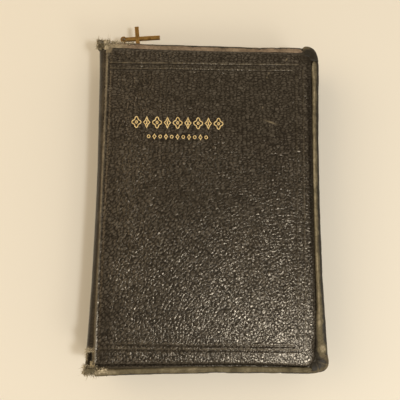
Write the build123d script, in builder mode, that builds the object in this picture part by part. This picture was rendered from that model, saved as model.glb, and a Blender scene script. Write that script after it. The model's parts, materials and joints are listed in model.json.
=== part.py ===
"""A zip-around, leather-bound bible that lies on its back cover.

Millimetres. +Z up from the back cover to the front cover, +Y to the head of the book, +X to the
fore edge. The origin is the middle of the back cover's outer face, which rests on the table.
"""
from build123d import *
import os
from math import atan2, degrees

# ---- the closed case -------------------------------------------------------
CASE_W = 134.0          # spine to fore edge
CASE_L = 192.5          # head to tail
CASE_T = 31.0           # back face to front face
WAIST = 1.6             # how far the fore edge pulls in at half height
CORNER_R = 7.5          # outer radius of the two fore-edge corners
HEAD = CASE_L / 2
FORE = CASE_W / 2
HINGE_X = -62.0         # the fold between spine and cover

# ---- cover layers, counted inwards from the outer face ----------------------
LEATHER_T = 1.3
BOARD_T = 1.2
LINING_T = 0.6
COVER_T = LEATHER_T + BOARD_T + LINING_T
WELT_W = 3.5            # rolled edge round three sides
WELT_H = 4.2
WELT_DROP = 0.4         # the roll stands this much lower than the cover's face
WELT_ROUND = 1.5
WELT_CLEAR = 0.4        # under the front roll, over the fixed end gussets
SEAM_GAP = 0.1
HINGE_GAP = 0.15

# ---- blind tooling and gilding on the front cover ---------------------------
TOOL_W = 0.8
TOOL_DEPTH = 0.35
TOOL_LEFT = -60.0
TOOL_FRAMES = [(55.9, 84.1, -84.8), (52.3, 80.8, -82.0)]    # fore line, head line, tail line
FOIL_T = 0.08
GILT_X = -18.5          # middle of the gilt ornament
UPPER_ROW_Y = 46.3
UPPER_PITCH = 6.1
LOWER_ROW_Y = 37.7
LOWER_PITCH = 3.4

# ---- zipper ------------------------------------------------------------------
ZIP_Z = CASE_T / 2
ZIP_INSET = 1.75        # the tapes' middle, in from the case's outline
ZIP_Y = HEAD - ZIP_INSET
TAPE_T = 0.9
ROW_GAP = 1.6           # between the two open rows of teeth
TOOTH_HEAD = 1.0
TOOTH_JAW = 1.6
TOOTH_T = 2.2
TOOTH_LEN = 1.3
TOOTH_PITCH = 2.4
STITCH_PITCH = 4.0
STITCH_LEN = 2.6
STITCH_T = 0.4
STITCH_H = 0.5
STITCH_LIFT = 0.12      # keeps straight stitches off the tape where it turns a corner
GUSSET_END_X = -49.4    # where the fixed ends of the front tape stop
FRONT_ROW_X = -49.0     # where the front tape starts to move with the cover
BACK_ROW_X = -59.0

# ---- slider, ring and cross ---------------------------------------------------
SLIDER_X = -54.0
SLIDER_LEN = 8.0
SLIDER_HALF_H = 4.6
PLATE_T = 0.8
PLATE_IN = 1.4          # inner face of each plate, from the tapes' middle
FLANGE_IN = 0.75
BAIL_W = 6.0
BAIL_OUT = 2.8
BAIL_WALL = 0.9
BAIL_H = 2.4
WIRE_R = 0.6
RING_R = 4.35
RING_PIVOT_Y = ZIP_Y + 3.2
CROSS_TURN = 5.5        # degrees that the long bar points away from the case
CROSS_BAR = 2.55
CROSS_T = 1.4
CROSS_LEN = 23.4        # eye to foot
CROSS_ARM = 8.3
CROSS_ARM_AT = 8.9      # eye to crossing
EYE_R = 2.0
EYE_HOLE_R = 1.0

# ---- text block -----------------------------------------------------------------
PAGE_LEFT = -60.8
PAGE_FORE = 58.6
PAGE_HALF_L = 90.5
PAGE_CORNER_R = 7.0
FLYLEAF_T = 0.25
SIGNATURES = 10
SIG_T = 2.24
SIG_PITCH = 2.34
SIG_BASE = 3.75
FOLD_R = 0.9

# ---- spine ------------------------------------------------------------------------
SPINE_HALF_L = 92.4
SPINE_R = 5.0
SPINE_TOP = CASE_T - 0.2
GUSSET_Y = SPINE_HALF_L + 1.9
GUSSET_T = 3.4
POST_W = 4.4
POST_BOTTOM = 0.6
POST_TOP = 30.2
STIFFENER_T = 0.8
BAND_R = 0.8
BAND_Y = 91.4

os.makedirs("parts", exist_ok=True)


def save(builder, name):
    """Label a finished piece and write it to its own file."""
    builder.part.label = name
    export_step(builder.part, f"parts/{name}.step")


def rounded_plan(left, fore, half_l, radius, waist, height):
    """A leaf-shaped outline: square at the spine, two round fore corners and a waisted fore edge."""
    with BuildSketch(Plane.XY.offset(height)) as plan:
        with BuildLine():
            Line((left, half_l), (fore, half_l))
            ThreePointArc((fore, half_l), (fore - waist, 0), (fore, -half_l))
            Polyline((fore, -half_l), (left, -half_l), (left, half_l))
        make_face()
        fillet(plan.vertices().group_by(Axis.X)[-1], radius)
    return plan.sketch


def case_plan(inset, left, height):
    """The case's outline, drawn in from its outer edge by inset."""
    return rounded_plan(left, FORE - inset, HEAD - inset, CORNER_R - inset, WAIST, height)


def case_wall(inset_out, inset_in, left, bottom, top):
    """A wall round head, fore edge and tail, added to the part that is being built."""
    extrude(case_plan(inset_out, left, bottom), amount=top - bottom)
    extrude(case_plan(inset_in, left - 1, bottom), amount=top - bottom, mode=Mode.SUBTRACT)


def zip_places(inset, pitch, head_x, tail_x):
    """Evenly spaced places round the zipper's run, each turned to face along it."""
    with BuildLine() as run:
        Line((head_x, HEAD - inset), (FORE - inset, HEAD - inset))
        ThreePointArc((FORE - inset, HEAD - inset), (FORE - inset - WAIST, 0), (FORE - inset, inset - HEAD))
        Line((FORE - inset, inset - HEAD), (tail_x, inset - HEAD))
        fillet(run.vertices().group_by(Axis.X)[-1], CORNER_R - inset)
    wire = run.wires()[0]
    count = int(wire.length / pitch)
    places = []
    for index in range(count):
        share = (index + 0.5) / count
        point = wire @ share
        heading = wire % share
        places.append(Location((point.X, point.Y, 0), (0, 0, degrees(atan2(heading.Y, heading.X)))))
    return places


# ---- covers ---------------------------------------------------------------------------
def cover_layer(inset, left, bottom, thickness):
    """One flat layer of a cover."""
    with BuildPart() as layer:
        extrude(case_plan(inset, left, bottom), amount=thickness)
    return layer


def edge_welt(left, bottom):
    """The rolled leather edge of one cover, rounded along its length."""
    with BuildPart() as welt:
        case_wall(0, WELT_W, left, bottom, bottom + WELT_H)
        rims = welt.faces().filter_by(Axis.Z).edges().filter_by(lambda e: abs(e.center().X - left) > 0.01)
        fillet(rims, WELT_ROUND)
    return welt


save(cover_layer(WELT_W + SEAM_GAP, HINGE_X - 0.2, 0, LEATHER_T), "back_cover_leather")
save(cover_layer(WELT_W + 0.5, HINGE_X + 1.2, LEATHER_T, BOARD_T), "back_cover_board")
save(cover_layer(WELT_W + 0.7, HINGE_X + 1.5, LEATHER_T + BOARD_T, LINING_T), "back_cover_lining")
save(edge_welt(HINGE_X, WELT_DROP), "back_edge_welt")

with BuildPart() as front_cover_leather:
    extrude(case_plan(WELT_W + SEAM_GAP, HINGE_X + HINGE_GAP, CASE_T - LEATHER_T), amount=LEATHER_T)
    with BuildSketch(Plane.XY.offset(CASE_T)) as tooling:
        for fore_x, head_y, tail_y in TOOL_FRAMES:
            bar_len = fore_x - TOOL_LEFT + TOOL_W / 2
            with Locations((TOOL_LEFT, head_y), (TOOL_LEFT, tail_y)):
                Rectangle(bar_len, TOOL_W, align=(Align.MIN, Align.CENTER))
            with Locations((fore_x, (head_y + tail_y) / 2)):
                Rectangle(TOOL_W, head_y - tail_y)
    extrude(amount=-TOOL_DEPTH, mode=Mode.SUBTRACT)
save(front_cover_leather, "front_cover_leather")

FRONT_BOARD_Z = CASE_T - LEATHER_T - BOARD_T
save(cover_layer(WELT_W + 0.5, HINGE_X + 1.2, FRONT_BOARD_Z, BOARD_T), "front_cover_board")
save(cover_layer(WELT_W + 0.7, HINGE_X + 1.5, CASE_T - COVER_T, LINING_T), "front_cover_lining")
FRONT_WELT_Z = CASE_T - WELT_DROP - WELT_H
save(edge_welt(HINGE_X + 0.3, FRONT_WELT_Z), "front_edge_welt")

with BuildPart() as gilt_ornament:
    with BuildSketch(Plane.XY.offset(CASE_T)):
        # upper row: pierced quatrefoils with tall lozenges between them
        with Locations(*[(GILT_X + UPPER_PITCH * step, UPPER_ROW_Y) for step in (-4, -2, 0, 2, 4)]):
            with PolarLocations(1.45, 4):
                Circle(1.35)
        with Locations(*[(GILT_X + UPPER_PITCH * step, UPPER_ROW_Y) for step in (-4, -2, 0, 2, 4)]):
            Circle(0.8, mode=Mode.SUBTRACT)
        with Locations(*[(GILT_X + UPPER_PITCH * step, UPPER_ROW_Y) for step in (-3, -1, 1, 3)]):
            Polygon((0, 3.7), (1.5, 0), (0, -3.7), (-1.5, 0))
        # lower row: small beads and lozenges in turn
        with Locations(*[(GILT_X + LOWER_PITCH * step, LOWER_ROW_Y) for step in (-4, -2, 0, 2, 4)]):
            Polygon((0, 1.7), (1.2, 0), (0, -1.7), (-1.2, 0))
        with Locations(*[(GILT_X + LOWER_PITCH * step, LOWER_ROW_Y) for step in (-5, -3, -1, 1, 3, 5)]):
            Circle(0.75)
    extrude(amount=FOIL_T)
save(gilt_ornament, "gilt_ornament")


# ---- zipper rows --------------------------------------------------------------------------
def zipper_tape(bottom, top, head_x):
    """The woven tape of one row, sewn to its cover's rolled edge."""
    with BuildPart() as tape:
        case_wall(ZIP_INSET - TAPE_T / 2, ZIP_INSET + TAPE_T / 2, BACK_ROW_X, bottom, top)
        with BuildSketch(Plane.XY.offset(bottom)):
            with Locations((BACK_ROW_X - 1, HEAD)):
                Rectangle(head_x - BACK_ROW_X + 1, 8, align=(Align.MIN, Align.CENTER))
        extrude(amount=top - bottom, mode=Mode.SUBTRACT)
    return tape


def crimp(places, length, side):
    """Metal crimped on a tape: a head in the row's gap side and two jaws that hold the tape."""
    head_z = ZIP_Z + side * ROW_GAP / 2
    jaw_y = (TOOTH_T + TAPE_T) / 4 + 0.04
    jaw_t = (TOOTH_T - TAPE_T) / 2 - 0.08
    with BuildPart() as row:
        with BuildSketch(Plane.XY.offset(head_z)):
            with Locations(*places):
                Rectangle(length, TOOTH_T)
        extrude(amount=side * TOOTH_HEAD)
        with BuildSketch(Plane.XY.offset(head_z + side * TOOTH_HEAD)):
            with Locations(*places):
                with Locations((0, jaw_y), (0, -jaw_y)):
                    Rectangle(length, jaw_t)
        extrude(amount=side * TOOTH_JAW)
    return row


def stitching(height, head_x):
    """The seam that holds a tape, one small solid for each visible stitch."""
    inset = ZIP_INSET - TAPE_T / 2 - STITCH_T / 2 - STITCH_LIFT
    with BuildPart() as seam:
        with BuildSketch(Plane.XY.offset(height)):
            with Locations(*zip_places(inset, STITCH_PITCH, head_x + 1, BACK_ROW_X + 1)):
                Rectangle(STITCH_LEN, STITCH_T)
        extrude(amount=STITCH_H)
    return seam


def stop_places(head_x):
    """The two ends of a row, where its end stops are crimped."""
    return [Location((head_x + 1.3, ZIP_Y, 0)), Location((BACK_ROW_X + 1.3, -ZIP_Y, 0))]


TAPE_EDGE = ROW_GAP / 2 + TOOTH_HEAD + 0.1      # from the zipper's middle to a tape's free edge
STOP_LEN = 1.8
ROW_START = 3.0                                 # the first tooth, past the end stop
for side, cover, welt_face, head_x in (
    (1, "front", FRONT_WELT_Z, FRONT_ROW_X),
    (-1, "back", WELT_DROP + WELT_H, BACK_ROW_X),
):
    low, high = sorted((ZIP_Z + side * TAPE_EDGE, welt_face))
    save(zipper_tape(low, high, head_x), f"{cover}_zipper_tape")
    teeth_at = zip_places(ZIP_INSET, TOOTH_PITCH, head_x + ROW_START, BACK_ROW_X + ROW_START)
    save(crimp(teeth_at, TOOTH_LEN, side), f"{cover}_zipper_teeth")
    save(crimp(stop_places(head_x), STOP_LEN, side), f"{cover}_zipper_stops")
    seam_z = welt_face - side * 1.5 - STITCH_H / 2
    save(stitching(seam_z, head_x), f"{cover}_stitching")


# ---- slider, bail, ring and cross -----------------------------------------------------------
with BuildPart() as slider_body:
    for sign in (1, -1):
        with BuildSketch(Plane.XZ.offset(-(ZIP_Y + sign * (PLATE_IN + PLATE_T / 2)))):
            with Locations((SLIDER_X, ZIP_Z)):
                RectangleRounded(SLIDER_LEN, 2 * SLIDER_HALF_H, 1.4)
        extrude(amount=PLATE_T / 2, both=True)
        flange_y = ZIP_Y + sign * (FLANGE_IN + PLATE_IN) / 2
        for end in (1, -1):
            with Locations((SLIDER_X, flange_y, ZIP_Z + end * (SLIDER_HALF_H - 0.4))):
                Box(SLIDER_LEN - 2.8, PLATE_IN - FLANGE_IN, 0.8)
    with Locations((SLIDER_X - SLIDER_LEN / 2 + 1.2, ZIP_Y, ZIP_Z)):
        Box(1.8, 2 * PLATE_IN, 1.0)
save(slider_body, "slider_body")

PLATE_FACE_Y = ZIP_Y + PLATE_IN + PLATE_T
with BuildPart() as slider_bail:
    with BuildSketch(Plane.XY.offset(ZIP_Z)):
        with Locations((SLIDER_X, PLATE_FACE_Y)):
            Rectangle(BAIL_W, BAIL_OUT, align=(Align.CENTER, Align.MIN))
            Rectangle(
                BAIL_W - 2 * BAIL_WALL,
                BAIL_OUT - BAIL_WALL,
                align=(Align.CENTER, Align.MIN),
                mode=Mode.SUBTRACT,
            )
    extrude(amount=BAIL_H / 2, both=True)
    fillet(slider_bail.edges().filter_by(Axis.Z).group_by(Axis.Y)[-1], 0.8)
save(slider_bail, "slider_bail")

RING_Y = RING_PIVOT_Y + RING_R
with BuildPart() as pull_ring:
    with BuildSketch(Plane.XY.offset(ZIP_Z)):
        with Locations((SLIDER_X, RING_PIVOT_Y)):
            Circle(WIRE_R)
    revolve(axis=Axis((SLIDER_X, RING_Y, ZIP_Z), (1, 0, 0)))
save(pull_ring, "pull_ring")

EYE_Y = RING_PIVOT_Y + 2 * RING_R
cross_plane = Plane((SLIDER_X, EYE_Y, ZIP_Z)).rotated((0, 0, CROSS_TURN))
with BuildPart() as cross_pull:
    with BuildSketch(cross_plane):
        Circle(EYE_R)
        Rectangle(CROSS_LEN, CROSS_BAR, align=(Align.MIN, Align.CENTER))
        with Locations((CROSS_ARM_AT, 0)):
            Rectangle(CROSS_BAR, 2 * CROSS_ARM)
        Circle(EYE_HOLE_R, mode=Mode.SUBTRACT)
    extrude(amount=CROSS_T / 2, both=True)
    chamfer(cross_pull.faces().sort_by(Axis.Z)[-1].outer_wire().edges(), 0.3)
save(cross_pull, "cross_pull")


# ---- corner gussets, where the zipper's ends are sewn in at the spine --------------------------
for sign, name in ((1, "head_end_gusset"), (-1, "tail_end_gusset")):
    with BuildPart() as end_gusset:
        # a rounded corner post as tall as the spine, which closes the spine's open end
        with BuildSketch(Plane.XY.offset(POST_BOTTOM)):
            with Locations((HINGE_X - 0.3, sign * GUSSET_Y)):
                RectangleRounded(POST_W, GUSSET_T, 1.2, align=(Align.MAX, Align.CENTER))
        extrude(amount=POST_TOP - POST_BOTTOM)
        # a lower wall between the two rolled edges
        with BuildSketch(Plane.XY.offset(WELT_DROP + WELT_H)):
            with Locations((BACK_ROW_X - 0.6, sign * GUSSET_Y)):
                Rectangle(POST_W, GUSSET_T, align=(Align.MAX, Align.CENTER))
        extrude(amount=FRONT_WELT_Z - WELT_DROP - WELT_H - WELT_CLEAR)
        if sign > 0:
            tape_end_z = ZIP_Z + TAPE_EDGE
            with BuildSketch(Plane.XY.offset(tape_end_z)):
                with Locations((BACK_ROW_X - 1.2, ZIP_Y)):
                    tape_len = GUSSET_END_X - BACK_ROW_X + 1.2
                    Rectangle(tape_len, TAPE_T, align=(Align.MIN, Align.CENTER))
            extrude(amount=FRONT_WELT_Z - WELT_CLEAR - tape_end_z)
    save(end_gusset, name)


# ---- spine ------------------------------------------------------------------------------------
with BuildPart() as spine_leather:
    with BuildSketch(Plane.XZ) as section:
        with Locations((-FORE, 0)):
            RectangleRounded(4 * SPINE_R, SPINE_TOP, SPINE_R, align=Align.MIN)
        with Locations((-FORE + LEATHER_T, LEATHER_T)):
            RectangleRounded(
                4 * SPINE_R,
                SPINE_TOP - 2 * LEATHER_T,
                SPINE_R - LEATHER_T,
                align=Align.MIN,
                mode=Mode.SUBTRACT,
            )
        with Locations((HINGE_X - 0.2, -1)):
            Rectangle(5 * SPINE_R, CASE_T + 2, align=Align.MIN, mode=Mode.SUBTRACT)
    extrude(amount=SPINE_HALF_L, both=True)
save(spine_leather, "spine_leather")


def spine_strip(left, thickness, half_l, bottom, top):
    """A flat strip that stands on edge along the spine."""
    with BuildPart() as strip:
        with BuildSketch(Plane.XY.offset(bottom)):
            with Locations((left, 0)):
                Rectangle(thickness, 2 * half_l, align=(Align.MIN, Align.CENTER))
        extrude(amount=top - bottom)
    return strip


BLOCK_TOP = SIG_BASE + (SIGNATURES - 1) * SIG_PITCH + SIG_T
save(spine_strip(-FORE + LEATHER_T + 0.1, STIFFENER_T, 88, 5.2, 25.6), "spine_stiffener")
save(spine_strip(PAGE_LEFT - 1.1, 0.4, 86, SIG_BASE, BLOCK_TOP), "spine_liner")
save(spine_strip(PAGE_LEFT - 0.7, 0.3, 80, SIG_BASE, BLOCK_TOP), "spine_mull")

with BuildPart() as sewing_tapes:
    with BuildSketch(Plane.XY.offset(SIG_BASE)):
        with Locations(*[(PAGE_LEFT - 0.4, 48 * step) for step in (-1, 0, 1)]):
            Rectangle(0.3, 12, align=(Align.MIN, Align.CENTER))
    extrude(amount=BLOCK_TOP - SIG_BASE)
save(sewing_tapes, "sewing_tapes")

for sign, name in ((1, "head_band"), (-1, "tail_band")):
    with BuildPart() as end_band:
        with BuildSketch(Plane.XY.offset(SIG_BASE)):
            with Locations((PAGE_LEFT + 0.2, sign * BAND_Y)):
                Circle(BAND_R)
        extrude(amount=BLOCK_TOP - SIG_BASE)
    save(end_band, name)


# ---- leaves and sewn signatures, numbered from the front cover down -----------------------------
def leaf(bottom, thickness):
    """One leaf, or one folded signature before its fold is rounded."""
    plan = rounded_plan(PAGE_LEFT, PAGE_FORE, PAGE_HALF_L, PAGE_CORNER_R, WAIST, bottom)
    with BuildPart() as sheet:
        extrude(plan, amount=thickness)
    return sheet


save(leaf(SIG_BASE - 0.4, FLYLEAF_T), "back_flyleaf")
save(leaf(BLOCK_TOP + 0.15, FLYLEAF_T), "front_flyleaf")
for number in range(1, SIGNATURES + 1):
    signature_z = SIG_BASE + (SIGNATURES - number) * SIG_PITCH
    with BuildPart() as signature:
        add(leaf(signature_z, SIG_T).part)
        fillet(signature.faces().sort_by(Axis.X)[0].edges().filter_by(Axis.Y), FOLD_R)
    save(signature, f"signature_{number:02d}")
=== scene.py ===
"""A worn zip-around leather bible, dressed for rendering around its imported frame."""
import json
import math

import bmesh
import bpy
import numpy as np
from mathutils import Matrix, Vector


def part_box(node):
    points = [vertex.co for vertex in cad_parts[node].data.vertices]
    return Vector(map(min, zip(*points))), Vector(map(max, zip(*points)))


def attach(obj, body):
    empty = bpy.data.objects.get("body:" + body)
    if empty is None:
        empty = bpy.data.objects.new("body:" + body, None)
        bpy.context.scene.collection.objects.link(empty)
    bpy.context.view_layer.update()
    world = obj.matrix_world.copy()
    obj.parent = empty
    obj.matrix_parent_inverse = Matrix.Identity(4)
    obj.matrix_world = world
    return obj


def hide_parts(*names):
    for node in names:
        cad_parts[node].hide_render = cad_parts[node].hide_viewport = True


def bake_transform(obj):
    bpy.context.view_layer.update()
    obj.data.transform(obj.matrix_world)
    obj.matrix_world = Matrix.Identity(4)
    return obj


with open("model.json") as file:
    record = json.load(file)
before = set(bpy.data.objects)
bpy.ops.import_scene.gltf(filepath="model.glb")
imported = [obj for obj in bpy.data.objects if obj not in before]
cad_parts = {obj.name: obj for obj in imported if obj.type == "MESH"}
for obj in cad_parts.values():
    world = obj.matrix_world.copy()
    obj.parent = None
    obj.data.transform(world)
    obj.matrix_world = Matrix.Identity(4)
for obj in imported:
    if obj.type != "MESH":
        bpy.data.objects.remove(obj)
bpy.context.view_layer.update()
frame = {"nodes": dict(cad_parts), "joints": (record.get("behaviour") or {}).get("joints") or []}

MM = 0.001
scene = bpy.context.scene


# ---- sizes read from the frame, in millimetres
def node_box(node):
    """A CAD node's lowest and highest corners in millimetres."""
    low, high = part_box(node)
    return np.array(low) / MM, np.array(high) / MM


HEAD = node_box("back_edge_welt")[1][1]
FORE = node_box("back_edge_welt")[1][0] + 0.35
TOP = node_box("front_cover_leather")[1][2]
LEATHER_T = TOP - node_box("front_cover_leather")[0][2]
SPINE_X = node_box("spine_leather")[0][0]
FOLD_X = next(j for j in frame["joints"] if j["name"] == "cover_hinge")["pos_m"][0] / MM
WELT_LOW = node_box("front_edge_welt")[0][2]
WELT_HIGH = node_box("front_edge_welt")[1][2]
BACK_WELT_LOW = node_box("back_edge_welt")[0][2]
BACK_WELT_HIGH = node_box("back_edge_welt")[1][2]
ZIP_Z = (node_box("back_zipper_teeth")[1][2] + node_box("front_zipper_teeth")[0][2]) / 2
STRIP_W = 3.9           # the rolled edge seen from above
TOOL_LINES = [(55.6, 83.5, -84.1), (51.4, 79.9, -81.5)]     # fore line, head line, tail line
FORE_TILT, HEAD_TILT, TAIL_TILT = 0.021, 0.016, -0.011
TOOL_LEFT = -60.5
SCRATCHES = [           # middle, half length and turn of each
    (37.3, 47.9, 3.4, -0.32), (36.9, 79.1, 0.6, 1.0), (35.5, 76.3, 0.4, 0.0), (32.6, 57.0, 0.5, 1.5),
    (47.9, 88.2, 0.9, 1.1),
]
GILT_X, GILT_Y, GILT_LOW_Y = -18.5, 46.3, 37.7
PANEL_IN = 4.7          # how far a cover's flat panel lies in from the outline
PANEL_RIM = 2.0         # width of the rounded rim of a panel


# ---- the outline: a handmade case bows a little round its straight pattern
def smooth(low, high, value):
    """0 at low, 1 at high, easing between."""
    t = np.clip((value - low) / (high - low), 0, 1)
    return t * t * (3 - 2 * t)


def hump(away, width):
    """1 where away is 0, falling off either side over width."""
    return np.exp(-(away / width) ** 2)


def fore_line(y):
    return FORE - 0.9 + 0.0089 * y + 2.34e-4 * np.square(y)


def spine_line(y):
    return SPINE_X + 1.45 - 2.2e-4 * np.square(y - 10)


def head_line(x):
    return HEAD + 0.25 + 0.6 * smooth(25, 48, x) + 0.45 * smooth(-36, -48, x)


def tail_line(x):
    return HEAD + 0.3 + 2.6e-4 * np.square(x - 8)


def ridge_line(y):
    return FOLD_X + 0.3 + 0.5 * np.sin(math.pi * y / 130)


def panel_fore(y):
    return FORE - PANEL_IN + 0.0165 * y - 1.2 * smooth(-66, -86, y)


def panel_head(x):
    return HEAD - 4.4 + 0.007 * (x + 60)


def panel_tail(x):
    return HEAD - PANEL_IN + 6e-4 * np.square(np.clip(x, 0, 70))


# ---- seeded noise
def lattice(ix, iy, seed):
    """A repeatable random number from 0 to 1 for each whole-number place."""
    h = (ix.astype(np.int64) * 374761393 + iy.astype(np.int64) * 668265263 + seed * 974711) & 0xFFFFFFFF
    h = ((h ^ (h >> 13)) * 1274126177) & 0xFFFFFFFF
    return ((h ^ (h >> 16)) & 0xFFFFFF) / float(0xFFFFFF)


def ripple(x, y, size, seed=0):
    """Smooth noise from -1 to 1 whose bumps are about size across."""
    u, v = np.asarray(x, float) / size, np.asarray(y, float) / size
    iu, iv = np.floor(u), np.floor(v)
    fu, fv = u - iu, v - iv
    fu, fv = fu * fu * (3 - 2 * fu), fv * fv * (3 - 2 * fv)
    low = lattice(iu, iv, seed) * (1 - fu) + lattice(iu + 1, iv, seed) * fu
    high = lattice(iu, iv + 1, seed) * (1 - fu) + lattice(iu + 1, iv + 1, seed) * fu
    return 2 * (low * (1 - fv) + high * fv) - 1


def rough(x, y, size, seed=0, octaves=3):
    """Several sizes of ripple added up."""
    total = 0
    for octave in range(octaves):
        total = total + ripple(x, y, size / 2 ** octave, seed + 17 * octave) / 2 ** octave
    return total / 1.75


def pebbles(x, y, size, seed=0):
    """Pebble grain: 0 in the creases between pebbles, rising to 1 on their crowns."""
    u, v = x / size, y / size
    iu, iv = np.floor(u), np.floor(v)
    first = np.full(u.shape, 9.0)
    second = np.full(u.shape, 9.0)
    for du in (-1, 0, 1):
        for dv in (-1, 0, 1):
            cu, cv = iu + du, iv + dv
            px = cu + 0.1 + 0.8 * lattice(cu, cv, seed)
            py = cv + 0.1 + 0.8 * lattice(cu, cv, seed + 5)
            away = np.hypot(u - px, v - py)
            second = np.minimum(second, np.maximum(first, away))
            first = np.minimum(first, away)
    rise = np.clip((second - first) / 0.75, 0, 1)
    return rise * (2 - rise)


# ---- mesh making
def grid(down, along):
    """Two arrays that give every pairing of the values down and along."""
    return np.meshgrid(down, along, indexing="ij")


def placed(name, data):
    """A new object that is in the scene."""
    thing = bpy.data.objects.new(name, data)
    scene.collection.objects.link(thing)
    return thing


def make_mesh(name, points, faces, shade=True):
    """A mesh object from points in millimetres."""
    mesh = bpy.data.meshes.new(name)
    mesh.from_pydata((np.asarray(points, float) * MM).tolist(), [], faces)
    mesh.validate()
    piece = placed(name, mesh)
    work = bmesh.new()
    work.from_mesh(mesh)
    bmesh.ops.recalc_face_normals(work, faces=work.faces)
    work.to_mesh(mesh)
    work.free()
    mesh.polygons.foreach_set("use_smooth", [shade] * len(mesh.polygons))
    return piece


def paint(piece, name, values):
    """Store one number for each point, for the material to read."""
    attribute = piece.data.attributes.new(name, "FLOAT", "POINT")
    attribute.data.foreach_set("value", np.asarray(values, np.float32).ravel())


def rim_index(rows, cols, start=0):
    """The numbers of the points round a grid's edge, in order."""
    number = start + np.arange(rows * cols).reshape(rows, cols)
    return np.concatenate([number[0], number[1:, -1], number[-1, -2::-1], number[-2:0:-1, 0]])


def grid_faces(rows, cols, start=0):
    """The four-sided faces of a grid of points."""
    i, j = grid(np.arange(rows - 1), np.arange(cols - 1))
    a = start + (i * cols + j).ravel()
    return np.stack([a, a + 1, a + cols + 1, a + cols], 1).tolist()


def shell(name, top, under, step):
    """A closed skin: a fine top grid, a coarse under grid and the rim that joins them."""
    rows, cols = top.shape[:2]
    low_rows, low_cols = under.shape[:2]
    start = rows * cols
    faces = grid_faces(rows, cols) + [f[::-1] for f in grid_faces(low_rows, low_cols, start)]
    fine = rim_index(rows, cols).tolist()
    coarse = rim_index(low_rows, low_cols, start).tolist()
    for index, here in enumerate(coarse):
        after = coarse[(index + 1) % len(coarse)]
        for k in range(step):
            a = fine[(index * step + k) % len(fine)]
            b = fine[(index * step + k + 1) % len(fine)]
            faces.append([a, here, b])
        faces.append([fine[((index + 1) * step) % len(fine)], here, after])
    points = np.concatenate([top.reshape(-1, 3), under.reshape(-1, 3)])
    return make_mesh(name, points, faces)


def band_faces(lower, upper):
    """The faces between two closed rows of point numbers."""
    return np.stack([lower, np.roll(lower, -1), np.roll(upper, -1), upper], 1).tolist()


def tube_faces(count, size, capped=True, loop=False):
    """The faces over count rings of size points."""
    rings = np.arange(count * size).reshape(count, size)
    faces = []
    for i in range(count if loop else count - 1):
        faces += band_faces(rings[i], rings[(i + 1) % count])
    if capped and not loop:
        faces += [rings[0][::-1].tolist(), rings[-1].tolist()]
    return faces


def tube(name, rings, capped=True, loop=False, shade=True):
    """A skin over a row of rings, each with the same number of points."""
    count, size = rings.shape[:2]
    return make_mesh(name, rings.reshape(-1, 3), tube_faces(count, size, capped, loop), shade)


def joined(name, pieces, body):
    """Several meshes made into one."""
    work = bmesh.new()
    for piece in pieces:
        work.from_mesh(piece.data)
        bpy.data.objects.remove(piece)
    mesh = bpy.data.meshes.new(name)
    work.to_mesh(mesh)
    work.free()
    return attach(placed(name, mesh), body)


# ---- the run round head, fore edge and tail
def case_run(inset, head_x, tail_x, spacing, head_r=7.0, tail_r=4.5):
    """Points, outward normals and distances along the case's outline, drawn in by inset."""
    head_cy = head_line(56.0) - head_r
    head_cx = fore_line(head_cy) - head_r
    tail_cy = tail_r - tail_line(60.0)
    tail_cx = fore_line(tail_cy) - tail_r
    xs = np.arange(head_x, head_cx, spacing)
    ys = np.arange(head_cy, tail_cy, -spacing)
    back = np.append(np.arange(tail_cx, tail_x, -spacing), tail_x)
    turn = np.linspace(math.pi / 2, 0, 12, endpoint=False)
    head_r, tail_r = head_r - inset, tail_r - inset
    points = np.concatenate([
        np.column_stack([xs, head_line(xs) - inset]),
        np.column_stack([head_cx + head_r * np.cos(turn), head_cy + head_r * np.sin(turn)]),
        np.column_stack([fore_line(ys) - inset, ys]),
        np.column_stack([tail_cx + tail_r * np.sin(turn), tail_cy - tail_r * np.cos(turn)]),
        np.column_stack([back, inset - tail_line(back)]),
    ])
    steps = np.gradient(points, axis=0)
    steps /= np.linalg.norm(steps, axis=1)[:, None]
    normals = np.stack([-steps[:, 1], steps[:, 0]], 1)
    along = np.concatenate([[0], np.cumsum(np.linalg.norm(np.diff(points, axis=0), axis=1))])
    return points, normals, along


def corner_nearness(x, y, reach):
    """1 at a fore corner of the case, falling to 0 at reach away from it."""
    away = np.hypot(FORE - np.asarray(x), HEAD - np.abs(y))
    return 1 - smooth(0.35 * reach, reach, away)


def swept(points, normals, across, up):
    """Rings of points along a run: how far each stands out from the run, and its height."""
    x, y = (points[:, i:i + 1] + normals[:, i:i + 1] * across for i in (0, 1))
    return np.stack([x, y, up], 2)


def squarish(value, power):
    """A sine or cosine pressed towards a square wave: the lower the power, the squarer."""
    return np.sign(value) * np.abs(value) ** power


def rounded(x, y, fore, half, radius):
    """A plan whose fore corners are drawn in along their diagonals, and how deep each point lies."""
    dx, dy = fore - x, half - np.abs(y)
    ex, ey = np.clip(radius - dx, 0, radius), np.clip(radius - dy, 0, radius)
    square = np.maximum(ex, ey)
    pull = square / np.maximum(np.hypot(ex, ey), 1e-6)
    both = (ex > 0) & (ey > 0)
    depth = np.where(both, radius - square, np.minimum(dx, dy))
    x = np.where(both, fore - radius + ex * pull, x)
    return x, np.where(both, np.sign(y) * (half - radius + ey * pull), y), depth


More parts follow.
